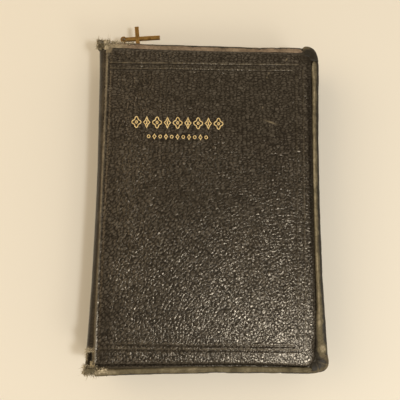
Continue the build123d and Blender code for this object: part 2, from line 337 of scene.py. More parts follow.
# ---- materials
class Shader:
    """A small helper that builds one Principled material node by node."""

    def __init__(self, name):
        self.material = bpy.data.materials.new(name)
        self.material.use_nodes = True
        self.tree = self.material.node_tree
        self.surface = self.tree.nodes["Principled BSDF"]
        self.place = self.tree.nodes.new("ShaderNodeTexCoord").outputs["Object"]

    def plug(self, socket, source):
        """Link a socket to another node's output, or give it a plain value."""
        if hasattr(source, "is_linked"):
            self.tree.links.new(source, socket)
        elif source is not None:
            socket.default_value = (*source, 1) if socket.type == "RGBA" else source

    def node(self, kind, output, inputs, **settings):
        """A new node's output, once its settings are made and its inputs plugged."""
        node = self.tree.nodes.new("ShaderNode" + kind)
        for name, value in settings.items():
            setattr(node, name, value)
        for key, source in inputs.items():
            self.plug(node.inputs[key], source)
        return node.outputs[output]

    def scaled(self, scale):
        return self.node("Mapping", "Vector", {"Vector": self.place, "Scale": scale})

    def noise(self, size_mm, detail=3.0, roughness=0.55, vector=None, distort=0.0):
        return self.node("TexNoise", "Fac", {
            "Vector": vector or self.place, "Scale": 1 / (size_mm * MM), "Detail": detail,
            "Roughness": roughness, "Distortion": distort})

    def cells(self, size_mm, vector=None):
        inputs = {"Vector": vector or self.place, "Scale": 1 / (size_mm * MM)}
        return self.node("TexVoronoi", "Distance", inputs, feature="DISTANCE_TO_EDGE")

    def wave(self, size_mm, axis, distort=0.0):
        # a wave texture's bands are a tenth of pi apart at scale 1
        inputs = {"Vector": self.place, "Scale": 0.314 / (size_mm * MM), "Detail": 1.0, "Distortion": distort}
        return self.node("TexWave", "Fac", inputs, bands_direction=axis)

    def value(self, name):
        return self.node("Attribute", "Fac", {}, attribute_name=name)

    def ramp(self, source, *stops):
        colour = self.node("ValToRGB", "Color", {"Fac": source})
        band = colour.node.color_ramp
        while len(band.elements) < len(stops):
            band.elements.new(0.5)
        for element, (at, tint) in zip(band.elements, stops):
            element.position = at
            element.color = (*tint, 1)
        return colour

    def shade(self, source, dark, light):
        return self.ramp(source, (0.3, dark), (0.7, light))

    def fit(self, source, low, high, to_low=0.0, to_high=1.0):
        return self.node("MapRange", "Result", {
            "Value": source, "From Min": low, "From Max": high, "To Min": to_low, "To Max": to_high})

    def mix(self, share, first, second, blend="MIX"):
        # a Mix node keeps its colours at inputs 6 and 7 and its mixed colour at output 2
        return self.node("Mix", 2, {0: share, 6: first, 7: second}, data_type="RGBA", blend_type=blend)

    def math(self, operation, first, second):
        return self.node("Math", 0, {0: first, 1: second}, operation=operation)

    def bump(self, height, depth_mm, strength=1.0, under=None):
        return self.node("Bump", "Normal", {
            "Height": height, "Distance": depth_mm * MM, "Strength": strength, "Normal": under})

    def finish(self, colour, roughness, normal=None, **others):
        """The finished material. A space in an input's name is written as _."""
        inputs = {"Base Color": colour, "Roughness": roughness, "Normal": normal, **others}
        for name, source in inputs.items():
            self.plug(self.surface.inputs[name.replace("_", " ")], source)
        return self.material


def grained_leather():
    """Dark brown-black leather: pebble grain with paler crowns and painted shade in its creases, worn pale
    edges with painted highlights on the tooled lines' lips, and painted shade where the dark mark is set.
    """
    s = Shader("grained_leather")
    crown, show, worn, dark = (s.value(name) for name in ("crown", "show", "worn", "dark"))
    fine = s.noise(0.55, 3, 0.6)
    base = s.shade(s.noise(30, 3), (0.016, 0.0125, 0.0085), (0.024, 0.0195, 0.0135))
    crown_tones = s.ramp(s.noise(3.2, 3), (0.35, (0.032, 0.0265, 0.020)), (0.7, (0.092, 0.080, 0.064)))
    paler_crowns = s.mix(s.fit(crown, 0.46, 0.85), base, crown_tones)
    # Painted shade in the creases between the pebbles.
    crease_shade = s.mix(s.fit(crown, 0.26, 0.66, 1.0, 0.0), paler_crowns, (0.003, 0.002, 0.0015))
    # Painted shade where the dark mark is set.
    shaded = s.mix(s.fit(dark, 0, 1), crease_shade, (0.005, 0.0035, 0.002))
    # The worn mark is real rubbing, and painted highlights on the tooled lines' lips.
    fray = s.math("MULTIPLY", worn, s.fit(fine, 0.35, 0.6, 0.6, 1.2))
    tan = s.shade(s.noise(1.1, 3), (0.13, 0.10, 0.062), (0.27, 0.225, 0.145))
    colour = s.mix(fray, shaded, tan)
    shine = s.fit(s.math("ADD", s.noise(9, 3), s.math("MULTIPLY", crown, -0.3)), 0.05, 0.7, 0.175, 0.285)
    shine = s.math("ADD", shine, s.math("MULTIPLY", worn, 0.4))
    wrinkles = s.noise(1.5, 3, 0.55, distort=1.0)
    domes = s.fit(s.cells(1.7), 0.0, 0.42)
    domes = s.math("MULTIPLY", domes, s.math("SUBTRACT", 2.0, domes))
    grain = s.math("MULTIPLY", s.math("ADD", domes, s.math("MULTIPLY", wrinkles, 0.6)), show)
    normal = s.bump(fine, 0.02, 0.4, s.bump(grain, 0.13, 1.0))
    # Less shine under the painted shade.
    gloss = s.fit(dark, 0, 1, 0.72, 0.12)
    return s.finish(colour, shine, normal, Specular_Tint=(1.0, 0.87, 0.68), Specular_IOR_Level=gloss)


def worn_edge():
    """The rolled edge: leather rubbed through to tan, with olive and pink patches and fine cracks."""
    s = Shader("worn_edge")
    bare = s.value("bare")
    pink = s.value("pink")
    grain = s.noise(0.7, 4)
    patch = s.noise(6, 4, 0.65)
    olive = s.shade(patch, (0.085, 0.070, 0.038), (0.19, 0.162, 0.098))
    rosy = s.shade(patch, (0.18, 0.125, 0.082), (0.33, 0.245, 0.17))
    tan = s.mix(pink, olive, rosy)
    dark = s.shade(grain, (0.011, 0.0085, 0.005), (0.032, 0.026, 0.015))
    share_raw = s.math("ADD", bare, s.math("MULTIPLY", s.noise(2.2, 4, 0.7), 0.8))
    share = s.fit(share_raw, 0.62, 1.05)
    pale = s.mix(pink, (0.34, 0.29, 0.19), (0.36, 0.28, 0.20))
    colour = s.mix(s.fit(share_raw, 1.35, 1.8), s.mix(share, dark, tan), pale)
    crack = s.fit(s.cells(1.6, vector=s.scaled((0.4, 0.4, 1.0))), 0.0, 0.10, 0.55, 1.0)
    colour = s.mix(1.0, colour, s.ramp(crack, (0.0, (0.35, 0.3, 0.25)), (1.0, (1, 1, 1))), "MULTIPLY")
    return s.finish(colour, s.fit(share, 0, 1, 0.5, 0.82), s.bump(grain, 0.10, 0.8), Specular_IOR_Level=0.3)


def smooth_leather(name, dark, light):
    """Thin smooth leather for the linings."""
    s = Shader(name)
    colour = s.shade(s.noise(14, 4), dark, light)
    normal = s.bump(s.cells(0.8), 0.03, 0.5, s.bump(s.noise(3, 3), 0.06, 0.4))
    return s.finish(colour, s.fit(s.noise(6, 3), 0.3, 0.7, 0.42, 0.6), normal)


def woven(name, dark, light, thread_mm):
    """Woven tape or cloth, with threads both ways."""
    s = Shader(name)
    warp = s.wave(thread_mm, "Z", 0.4)
    weft = s.wave(thread_mm, "DIAGONAL", 0.6)
    weave = s.math("MULTIPLY", warp, weft)
    colour = s.ramp(s.math("ADD", weave, s.math("MULTIPLY", s.noise(5, 3), 0.5)), (0.2, dark), (0.9, light))
    threads = s.bump(weave, 0.12, 0.9, s.bump(s.noise(0.3, 3), 0.05, 0.6))
    return s.finish(colour, 0.9, threads, Specular_IOR_Level=0.15)


def tarnished_brass(name, bright, dull, dirt):
    """Old brass: dull, browned in the hollows, brighter where it is handled."""
    s = Shader(name)
    age = s.noise(2.2, 4, 0.65)
    colour = s.ramp(age, (0.25, dirt), (0.48, dull), (0.75, bright))
    normal = s.bump(s.noise(0.35, 3), 0.03, 0.5, s.bump(s.noise(1.6, 2), 0.05, 0.5))
    roughness = s.fit(age, 0.25, 0.75, 0.62, 0.38)
    return s.finish(colour, roughness, normal, Metallic=0.85, Specular_IOR_Level=0.5)


def gold_foil():
    """Stamped gold leaf, rubbed thin in places so that the leather shows."""
    s = Shader("gold_foil")
    rub = s.fit(s.noise(0.55, 3, 0.7), 0.60, 0.70)
    bright = s.shade(s.noise(1.5, 2), (0.72, 0.52, 0.22), (0.95, 0.76, 0.40))
    colour = s.mix(rub, bright, (0.10, 0.075, 0.04))
    normal = s.bump(s.noise(0.6, 3), 0.04, 0.6)
    return s.finish(colour, s.fit(rub, 0, 1, 0.42, 0.7), normal, Metallic=0.35, Specular_IOR_Level=0.6)


def paper(name, light, aged, leaf_mm=None):
    """Cream paper. With leaf_mm, its edges show as fine stacked lines."""
    s = Shader(name)
    tone = s.ramp(s.noise(18, 4), (0.3, aged), (0.75, light))
    normal = s.bump(s.noise(0.4, 3), 0.015, 0.4)
    if not leaf_mm:
        return s.finish(tone, 0.85, normal, Specular_IOR_Level=0.2)
    lines = s.noise(1.0, 2, 0.6, s.scaled((0.03, 0.03, 1 / leaf_mm)))
    striped = s.mix(lines, (0.30, 0.22, 0.13), (0.66, 0.56, 0.41))
    colour = s.mix(s.fit(s.value("edge"), 0, 1), tone, striped)
    return s.finish(colour, 0.85, s.bump(lines, 0.12, 0.6, normal), Specular_IOR_Level=0.2)


def frayed_leather():
    """Shredded leather and thread: dark, olive, brown or cream by the tone each piece carries."""
    s = Shader("frayed_leather")
    tone = s.math("ADD", s.value("tone"), s.fit(s.noise(0.8, 3), 0.3, 0.7, -0.22, 0.22))
    colour = s.ramp(tone, (0.0, (0.014, 0.010, 0.005)), (0.3, (0.11, 0.084, 0.044)),
                    (0.6, (0.29, 0.235, 0.14)), (0.95, (0.66, 0.58, 0.42)))
    return s.finish(colour, 0.85, s.bump(s.noise(0.3, 3), 0.06, 0.7), Specular_IOR_Level=0.2)


def plain_card(name, dark, light):
    """Grey-brown card or kraft paper with flecks."""
    s = Shader(name)
    colour = s.shade(s.noise(1.2, 5, 0.7), dark, light)
    return s.finish(colour, 0.9, s.bump(s.noise(0.5, 3), 0.03, 0.5), Specular_IOR_Level=0.2)


LEATHER = grained_leather()
EDGE = worn_edge()
LINING = smooth_leather("lining_leather", (0.012, 0.010, 0.008), (0.026, 0.021, 0.016))
TAPE = woven("zipper_tape_cloth", (0.022, 0.017, 0.011), (0.075, 0.060, 0.040), 0.55)
THREAD = woven("sewing_thread", (0.05, 0.038, 0.022), (0.16, 0.12, 0.075), 0.35)
BAND = woven("end_band_silk", (0.25, 0.03, 0.02), (0.72, 0.58, 0.42), 0.8)
CLOTH = woven("binding_cloth", (0.42, 0.38, 0.29), (0.74, 0.69, 0.57), 0.7)
BRASS = tarnished_brass("zipper_brass", (0.50, 0.35, 0.15), (0.24, 0.155, 0.06), (0.07, 0.04, 0.016))
PULL_BRASS = tarnished_brass("pull_brass", (0.50, 0.30, 0.09), (0.34, 0.195, 0.055), (0.15, 0.08, 0.022))
# Darker than the other brass: the slider's own tarnish, and painted shade for the shadow it hangs in.
SLIDER_BRASS_IN_SHADE = tarnished_brass("slider_brass_in_shade", (0.26, 0.16, 0.06), (0.13, 0.08, 0.03), (0.05, 0.03, 0.012))
GOLD = gold_foil()
FRAYED = frayed_leather()
PAGE = paper("page_paper", (0.80, 0.74, 0.60), (0.68, 0.60, 0.44), 0.11)
FLYLEAF = paper("flyleaf_paper", (0.74, 0.66, 0.50), (0.62, 0.52, 0.36))
BOARD = plain_card("flexible_board", (0.16, 0.12, 0.08), (0.34, 0.27, 0.19))


def dress(piece, material):
    """Give a piece its material."""
    piece.data.materials.clear()
    piece.data.materials.append(material)
    return piece


# ---- leather skins
ROWS, PANEL_COLS, SPINE_COLS, COARSE = 391, 316, 70, 5
FLANGE = 3.0            # how far the leather runs on, low down, under the rolled edge
RIM_FALL = 1.15         # how far a panel's rim rolls down
GRAIN_DEPTH = 0.24
HIDDEN_CROWN = 0.2      # the marks' value on a skin's hidden side
GIRTH_STEP = 0.53       # distance round the spine from one column of points to the next


def spread(count):
    """Numbers from -1 to 1 that bunch up near both ends, where a rim has to be smooth."""
    t = np.linspace(-1, 1, count)
    return 0.6 * t + 0.4 * np.sign(t) * (1 - (1 - np.abs(t)) ** 1.6)


def panel_plan(v, u):
    """Where a panel's points lie, and how far each is in from its edge, less than 0 on the flange."""
    x = FOLD_X + (FORE - PANEL_IN - FOLD_X) * u
    y = np.where(v > 0, v * panel_head(x), v * panel_tail(x))
    fore = panel_fore(y) + FLANGE
    x = FOLD_X + (fore - FOLD_X) * u
    half = np.where(v > 0, panel_head(x), panel_tail(x)) + FLANGE
    x, y, depth = rounded(x, v * half, fore, half, np.where(v > 0, 5.0, 6.5) + FLANGE)
    return x, y, depth - FLANGE


def tool_frames(x, y):
    """Each tooled frame's fore, head and tail lines beside every point, and how far the tool wandered."""
    wander = 0.15 * ripple(x, y, 9, 31)
    for fore_at, head_at, tail_at in TOOL_LINES:
        yield fore_at + FORE_TILT * y, head_at + HEAD_TILT * x, tail_at + TAIL_TILT * x, wander


def tooling(x, y):
    """Height of the blind-tooled lines, and how near a point is to one."""
    height, near = np.zeros(x.shape), np.zeros(x.shape)
    for fore_x, head_y, tail_y, wander in tool_frames(x, y):
        across = (x < fore_x - 1.0) & (x > TOOL_LEFT)
        upright = (y < head_y - 1.0) & (y > tail_y + 1.0)
        for gap, firm in (
            (np.where(across, np.abs(y - head_y + wander), 9), 1.0),
            (np.where(across, np.abs(y - tail_y + wander), 9), 0.8),
            (np.where(upright, np.abs(x - fore_x + wander), 9), 0.45),
        ):
            faint = firm * (0.75 + 0.25 * ripple(x, y, 14, 37))
            height = height - 0.30 * faint * hump(gap, 0.45)
            height = height + 0.16 * faint * hump(gap - 1.05, 0.45)
            near = np.maximum(near, firm * hump(gap, 0.65))
    return height, near


def tool_line_highlight_and_shade(x, y):
    """A painted highlight along each tooled line's lip, and painted shade in the cut beside it."""
    lip, groove_shade = np.zeros(x.shape), np.zeros(x.shape)
    for (fore_x, head_y, tail_y, wander), firm in zip(tool_frames(x, y), (0.50, 0.28)):
        across = smooth(fore_x - 1, fore_x - 3, x) * smooth(TOOL_LEFT, TOOL_LEFT + 1.5, x)
        upright = smooth(head_y - 1, head_y - 3, y) * smooth(tail_y + 1, tail_y + 3, y)
        speckle = firm * (0.7 + 0.5 * ripple(x, y, 3.0, 33))
        for line_y, share in ((head_y, 1.0), (tail_y, 0.35)):
            away = y - line_y + wander
            lip = np.maximum(lip, share * speckle * across * hump(away - 0.75, 0.34))
            groove_shade = np.maximum(groove_shade, share * across * hump(away + 0.1, 0.5))
        away = x - fore_x + wander
        lip = np.maximum(lip, 0.4 * speckle * upright * hump(away - 0.8, 0.4))
        groove_shade = np.maximum(groove_shade, 0.3 * upright * hump(away, 0.5))
    return lip, groove_shade


def scratches(x, y):
    """How pale a few short scratches are."""
    pale = np.zeros(x.shape)
    for mid_x, mid_y, half, turn in SCRATCHES:
        along = (x - mid_x) * math.cos(turn) + (y - mid_y) * math.sin(turn)
        off = (y - mid_y) * math.cos(turn) - (x - mid_x) * math.sin(turn)
        pale = np.maximum(pale, np.exp(-((off / 0.36) ** 2) - (along / half) ** 2))
    return pale


def gilt_calm(x, y):
    """1 where the gilding press has flattened the leather."""
    rows = ((GILT_X, GILT_Y, 27.5, 3.8), (GILT_X, GILT_LOW_Y, 18.5, 2.2))
    calm = np.zeros(x.shape)
    for cx, cy, half_w, half_h in rows:
        inside = np.minimum(half_w - np.abs(x - cx), half_h - np.abs(y - cy))
        calm = np.maximum(calm, smooth(-1.2, 0.6, inside))
    return calm


def grain_height(x, y):
    """Pebble grain from 0 to 1: it lies level near the head and slants near the tail."""
    wx = x + 0.7 * ripple(x, y, 4.5, 3) + 0.55 * ripple(x, y, 1.9, 5)
    wy = y + 0.7 * ripple(x, y, 4.5, 4) + 0.45 * ripple(x, y, 1.9, 6)
    level = pebbles(wx * 0.66, wy * 1.12, 1.65, 11)
    slant_x, slant_y = 0.77 * wx + 0.64 * wy, 0.77 * wy - 0.64 * wx
    slanted = pebbles(slant_x * 0.66, slant_y * 1.12, 1.75, 13)
    share = smooth(25, -30, y + 0.25 * x + 14 * ripple(x, y, 38, 14))
    worms = 1 - np.abs(ripple(wx * 0.8 + 0.3 * wy, wy, 1.25, 15))
    return 0.7 * (level * (1 - share) + slanted * share) + 0.3 * worms


def leather_height(x, y, inward, tooled):
    """Height of the leather over its flat face, its crowns, and where the grain shows."""
    grain = grain_height(x, y)
    tool, near = tooling(x, y) if tooled else (0 * x, 0 * x)
    calm = gilt_calm(x, y) if tooled else 0 * x
    smoother = corner_nearness(x, y, 17) * (y > 0)
    show = (0.85 + 0.25 * ripple(x, y, 22, 8)) * (1 - 0.7 * near) * (1 - 0.85 * calm) * (1 - 0.7 * smoother)
    show = show * (0.55 + 0.45 * smooth(FOLD_X + 1, FOLD_X + 14, x)) * smooth(-0.3, 2.2, inward)
    show = np.maximum(show, 0.6 * smooth(0.0, -0.8, inward))
    from_glare = np.hypot(0.8 * (x - 50), y + 96)
    show = show * (1 - 0.38 * smooth(40, 8, from_glare) - 0.10 * smooth(85, 40, from_glare))
    swell = 0.16 * rough(x, y, 46, 21) * (1 - calm) * smooth(0, 12, inward)
    folds = ripple(0.8 * x + 0.6 * y, 0.15 * (y - x), 5.0, 23)
    creases = 0.10 * smooth(0.55, 0.95, folds) * smooth(0, -60, y)
    rim = PANEL_RIM + 1.8 * smooth(8, 4, panel_fore(y) - x) * (1 - 0.6 * smooth(-20, -80, y))
    into = np.clip(rim - inward, 0, rim)
    fall = RIM_FALL * (1 - np.sqrt(np.maximum(1 - (into / rim) ** 2, 0))) * (1 - 0.6 * smooth(74, 89, y))
    grain = grain + (0.42 - grain) * smoother
    height = GRAIN_DEPTH * (grain - 0.8) * show + tool + swell - creases - 0.05 * calm - fall
    return height + 0.12 * np.minimum(inward, 0), grain, show


def fold_ridge(x, y):
    """The rubbed crease that stands up along the fold, and how rubbed each point is."""
    here = ridge_line(y) + 0.12 * ripple(y, 0 * y, 7, 51)
    lift = 0.13 + 0.22 * smooth(-40, 30, y) + 0.10 * ripple(y, 0 * y, 17, 52)
    broad = 0.34 + 0.22 * smooth(10, -60, y)
    ridge = lift * hump(x - here, 0.5) - 0.2 * hump(x - here - 1.5, 0.8)
    return ridge, hump(x - here, broad)


def spine_profile(count):
    """The spine's rounded outside from the back fold up to the front fold: normal x, z, then place x, z."""
    radius = FOLD_X - SPINE_X
    bend = math.pi * radius / 2
    straight = TOP - 2 * radius
    points = []
    for s in np.linspace(0, 2 * bend + straight, count, endpoint=False):
        a = min(s, bend) / radius + max(s - bend - straight, 0) / radius
        z = radius - radius * math.cos(a) + min(max(s - bend, 0), straight)
        points.append((-math.sin(a), -math.cos(a), FOLD_X - radius * math.sin(a), z))
    return np.array(points).T


def tail_tear(x, y):
    """The split in the spine near its tail: how deep, and how pale its torn edges are."""
    x0 = x - (ridge_line(y) - 2.6)
    slit = smooth(-93.5, -91.0, y) * smooth(-83.6, -85.2, y)
    deep = slit * np.exp(-(x0 / 1.25) ** 4)
    lips = slit * (hump(x0 - 1.9, 0.55) + hump(x0 + 1.9, 0.6))
    bridge = hump(y + 83.2 + 0.35 * x0, 0.95) + 0.9 * smooth(-91.5, -93.5, y)
    fringe = (lips + bridge) * (0.7 + 0.5 * ripple(x, y, 1.3, 77))
    return deep, np.clip(fringe, 0, 1.3)


def cover_part(v):
    """The front cover's share of the hide: its points and the marks its material reads."""
    x, y, inward = panel_plan(*grid(v, np.linspace(0, 1, PANEL_COLS)))
    height, crown, show = leather_height(x, y, inward, True)
    ridge, rubbed = fold_ridge(x, y)
    worn = rubbed * (0.85 + 0.4 * ripple(y, 0 * y, 2.2, 61)) * (0.62 + 0.45 * smooth(-30, 40, y))
    worn = np.maximum(worn, 1.15 * smooth(4.2, 2.2, np.hypot((x - ridge_line(y)) * 1.3, y - 92.5)))
    # The worn mark holds real rubbing along the fold and real scratches, and painted highlights on the tooled
    # lines' lips.
    lip, groove_shade = tool_line_highlight_and_shade(x, y)
    worn = np.maximum(np.maximum(worn, lip), 1.1 * scratches(x, y))
    # Painted shade: in the gap under the rolled edge, on the fore rim where it rolls down, and in the tooled
    # lines' cuts.
    gutter_shade = smooth(1.5, 0.1, inward) * (1 - 0.75 * smooth(87, 90, y)) * (1 - 0.35 * smooth(-20, -70, y))
    roll_off_shade = 0.75 * smooth(4.0, 2.4, panel_fore(y) - x) * (1 - 0.6 * smooth(0, -70, y))
    roll_off_shade = roll_off_shade * (1 - 0.5 * smooth(70, 88, y))
    dark = np.maximum(np.maximum(gutter_shade, 0.7 * groove_shade), roll_off_shade)
    points = np.stack([x, y, TOP + height + ridge], 2)
    return points, {"crown": crown, "show": show, "worn": worn, "dark": dark}


def spine_part(v):
    """The spine's share of the hide: its points, which way each faces, and its marks."""
    nx, nz, px, pz = (np.broadcast_to(row, (ROWS, SPINE_COLS)) for row in spine_profile(SPINE_COLS))
    half = np.where(v > 0, panel_head(FOLD_X), panel_tail(FOLD_X))[:, None]
    yy = v[:, None] * (half + FLANGE) + 0 * px
    girth = np.arange(SPINE_COLS)[None, :] * GIRTH_STEP + 0 * yy
    grain = 0.6 * pebbles(girth, yy, 1.8, 71) + 0.4 * pebbles(girth + 0.4 * yy, yy, 1.3, 72)
    upper = smooth(TOP - 6, TOP - 2.5, pz)
    deep, fringe = tail_tear(px, yy)
    dent = 0.10 * (grain - 1) + 0.22 * rough(girth, yy, 19, 73) - 1.1 * deep * upper
    dent = dent + 0.25 * upper * fringe * ripple(girth, yy, 1.0, 78)
    dent = dent - RIM_FALL * smooth(0.2, -1.0, half - np.abs(yy))
    lean = (spine_line(yy) - SPINE_X) * smooth(FOLD_X, SPINE_X + 1, px)
    ridge, rubbed = fold_ridge(px, yy)
    z = np.maximum(pz + nz * dent + ridge * smooth(TOP - 3, TOP - 0.5, pz), 0.02)
    worn = np.maximum(0.75 * rubbed * upper, 0.9 * fringe * upper)
    worn = worn + 0.12 * smooth(0.4, 0.9, ripple(girth, yy, 9, 75))
    # The spine's dark mark is painted shade, for its rounded side turned from the light, and deeper in the
    # tear.
    marks = {"crown": grain, "show": 0.5 + 0 * px, "worn": worn, "dark": 0.72 + 0.28 * deep}
    return np.stack([px + nx * dent + lean, yy, z], 2), nx, nz, marks


def hide(name, top, inner, marks):
    """A leather skin. The material reads the marks on its fine side."""
    piece = shell(name, top, inner, COARSE)
    under = np.full(inner.shape[0] * inner.shape[1], HIDDEN_CROWN)
    for mark, values in marks.items():
        paint(piece, mark, np.concatenate([values.ravel(), under]))
    return dress(piece, LEATHER)


def front_skin():
    """One hide over the spine and the front cover; it bends at the fold."""
    v = spread(ROWS)
    cover, cover_marks = cover_part(v)
    spine, nx, nz, spine_marks = spine_part(v)
    marks = {mark: np.concatenate([spine_marks[mark], cover_marks[mark]], 1) for mark in cover_marks}
    level = np.zeros(cover.shape[:2])
    top = np.concatenate([spine, cover], 1)
    inner = top[::COARSE, ::COARSE].copy()
    normal_x = np.concatenate([nx, level], 1)[::COARSE, ::COARSE]
    normal_z = np.concatenate([nz, level + 1], 1)[::COARSE, ::COARSE]
    inner[:, :, 0] -= normal_x * LEATHER_T * 0.9
    inner[:, :, 2] -= normal_z * LEATHER_T * 0.9
    inner[:, :, 2] = np.where(normal_z > 0.99, TOP - LEATHER_T, inner[:, :, 2])
    piece = hide("front_leather_skin", top, inner, marks)
    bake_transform(piece)
    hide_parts("front_cover_leather", "spine_leather")


def back_skin():
    """The back cover's leather, grain side down."""
    x, y, inward = panel_plan(*grid(spread(151), np.linspace(0, 1, 111)))
    height, crown, show = leather_height(x, y, inward, False)
    top = np.stack([x, y, np.maximum(0.12 - 0.8 * height, 0.0)], 2)
    inner = top[::COARSE, ::COARSE].copy()
    inner[:, :, 2] = LEATHER_T + 0.1
    marks = {"crown": crown, "show": show, "worn": 0.4 * smooth(1.2, 0.2, inward), "dark": 0 * x}
    piece = hide("back_leather_skin", top, inner, marks)
    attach(piece, "case")
    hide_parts("back_cover_leather")


def spine_card():
    """The card strip inside the spine, bowed like the leather over it."""
    low, high = node_box("spine_stiffener")
    ys = np.linspace(low[1], high[1], 41)
    near = spine_line(ys) + LEATHER_T + 0.5
    corners = ((0, low[2]), (0, high[2]), (0.6, high[2]), (0.6, low[2]))
    rings = [[(x + dx, y, z) for dx, z in corners] for x, y in zip(near, ys)]
    piece = dress(tube("spine_card", np.array(rings), shade=False), BOARD)
    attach(piece, "case")
    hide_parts("spine_stiffener")


# ---- rolled edges
ROLL_SQUARE = 0.62      # how square a rolled edge's section is


def rolled_edge(name, body, node, low, high, start_x, seed):
    """The rolled leather edge of one cover, ridged, dented and rubbed through; dark on its outer side with
    unworn leather and painted shade, and pale along the fore roll's inner ridge, which is also a painted
    highlight.
    """
    half = STRIP_W / 2
    points, normals, along = case_run(half, start_x, start_x, 0.8)
    s, p = grid(along, np.linspace(0, 2 * math.pi, 28, endpoint=False))
    px, py = points[:, :1] + 0 * s, points[:, 1:] + 0 * s
    corner = corner_nearness(px, py, 12.5)
    on_head, on_tail = smooth(93, 95, py), smooth(-93, -94, py)
    on_fore = smooth(62.5, 63.5, px) * smooth(95, 93, np.abs(py))
    half_w = half * (1 + 0.04 * ripple(s, 0 * s, 13, seed)) * (1 - 0.22 * corner)
    half_w = half_w + 0.35 * on_fore * smooth(-40, -75, py)
    half_h = (high - low) / 2 * (1 + 0.03 * ripple(s, 0 * s, 19, seed + 1))
    c, d = np.cos(p), np.sin(p)
    side = squarish(c, ROLL_SQUARE)
    across = side * half_w
    upward = squarish(d, ROLL_SQUARE) * half_h
    top = smooth(0.1, 0.5, d)
    ridge = 0.28 * hump(side + 0.5, 0.2) - 0.22 * hump(side - 0.05, 0.22)
    shoulder = -0.45 * smooth(0.45, 1.0, side)
    nicks = 0.5 * smooth(0.80, 0.95, ripple(s, 0 * s, 5.5, seed + 3)) * hump(side - 0.8, 0.3)
    lumps = 0.14 * rough(s, p * 1.6, 3.0, seed + 4)
    upward = upward + top * (ridge + shoulder) + d * lumps
    across = across + c * lumps - nicks * np.sign(c)
    inner = 1 + on_fore * (0.30 + 0.75 * smooth(-58, -80, py) + 0.75 * smooth(74, 84, py)) + 0.45 * on_head
    across = np.where(c < 0, across * inner, across)
    level = (low + high) / 2 + 0.1 * ripple(s, 0 * s, 31, seed + 5) - 0.9 * corner
    piece = tube(name, swept(points, normals, across, np.clip(level + upward, 0.06, TOP + 0.2)))
    blotch = 0.16 * ripple(s, side * 2, 5, seed + 6) + 0.10 * ripple(s, side * 2, 2, seed + 8)
    # Bare is where the roll is rubbed through to tan. The fore roll's pale inner ridge is also a painted
    # highlight. The dark outer side of the head and fore rolls is unworn leather with painted shade.
    head_wear_and_shade = 0.87 * smooth(0.5, 0.25, side) * smooth(-1.3, -0.7, side)
    fore_wear_highlight_shade = 0.85 * hump(side + 0.52, 0.24) + 0.48 * smooth(0.5, 0.2, side)
    fore_wear_highlight_shade = fore_wear_highlight_shade * smooth(0.5, 0.3, side)
    tail_bare = 0.64 * smooth(0.62, 0.30, side) * smooth(-1.1, -0.5, side) + 0.30 * smooth(0.97, 0.85, side)
    bare = on_head * head_wear_and_shade + on_fore * fore_wear_highlight_shade + on_tail * tail_bare
    scuff = 1.1 * on_fore * np.exp(-((py + 83.6) / 2.2) ** 2 - ((side - 0.15) / 0.5) ** 2)
    # A real scuff on the fore roll, and painted shade on its inner side near the tail.
    bare = bare + scuff - 0.5 * on_fore * smooth(-70, -80, py) * smooth(-0.2, -0.6, side)
    frayed = smooth(-46, -57, px)
    bare = (bare + blotch) * (0.25 + 0.75 * top) * (1 - 0.85 * corner) + 0.35 * frayed * top
    paint(piece, "bare", np.clip(bare, 0, 1.6))
    pink = on_head * (0.9 + 0.2 * ripple(s, 0 * s, 12, seed + 7)) - 0.6 * frayed
    paint(piece, "pink", np.clip(pink, 0, 1))
    dress(piece, EDGE)
    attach(piece, body)
    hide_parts(node)


CAP_R = 8.0             # radius of the outline under a folded corner
# each cap's section: inset from the outline, and height over the front edge's foot
HEAD_CAP = [(6.8, 4.3), (5.6, 4.66), (4.2, 4.85), (2.8, 4.8), (1.6, 4.5), (0.7, 3.85), (0.15, 2.9),
            (0.0, 1.8), (0.05, 0.7), (0.6, 0.1), (1.8, 0.0), (4.0, 0.6), (6.0, 3.2)]
TAIL_CAP = [(7.6, 3.0), (6.4, 3.6), (5.0, 4.0), (3.6, 4.25), (2.3, 4.2), (1.1, 3.8), (0.35, 3.0),
            (0.0, 1.9), (0.05, 0.8), (0.6, 0.1), (1.8, 0.0), (4.0, 0.6), (6.4, 1.6)]


